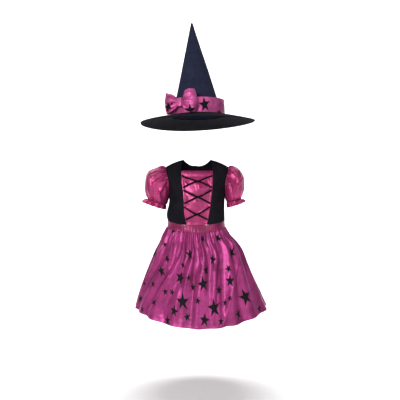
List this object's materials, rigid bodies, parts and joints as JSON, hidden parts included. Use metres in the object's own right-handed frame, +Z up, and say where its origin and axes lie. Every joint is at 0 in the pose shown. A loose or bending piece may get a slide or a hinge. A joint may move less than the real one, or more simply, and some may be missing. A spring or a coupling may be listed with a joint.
{
  "type": "witch costume",
  "caption": "Toddler's costume dress with laced bodice, puff sleeves and gathered star-print skirt, worn with a pointed wide-brimmed hat that carries a band and bow.",
  "frame": {"origin": "midway between the shoulders, level with the shoulder seams' inner third, where the worn dress hangs", "axes": "+Z up, the wearer faces -Y, +X towards the wearer's left"},
  "size_m": [0.4204, 0.3526, 0.9196],
  "materials": {
    "pink_satin": "smooth satin",
    "star_satin": "printed satin",
    "black_velour": "matt pile",
    "black_lace": "flat cord",
    "black_felt": "matt felt"
  },
  "bodies": {
    "root": {"bodice_front_left": "black_velour", "bodice_front_right": "black_velour", "bodice_back_left": "black_velour", "bodice_back_right": "black_velour", "front_insert": "pink_satin", "lace_1_over": "black_lace", "lace_1_under": "black_lace", "lace_2_over": "black_lace", "lace_2_under": "black_lace", "lace_3_over": "black_lace", "lace_3_under": "black_lace", "waistband_front": "pink_satin", "waistband_back_left": "pink_satin", "waistband_back_right": "pink_satin", "skirt_front": "star_satin", "skirt_back": "star_satin", "sleeve_left": "pink_satin", "sleeve_right": "pink_satin", "hat_crown": "black_felt", "hat_brim": "black_felt", "hat_band": "star_satin", "bow_loop_left": "star_satin", "bow_loop_right": "star_satin", "bow_knot": "star_satin"}
  },
  "joints": []
}
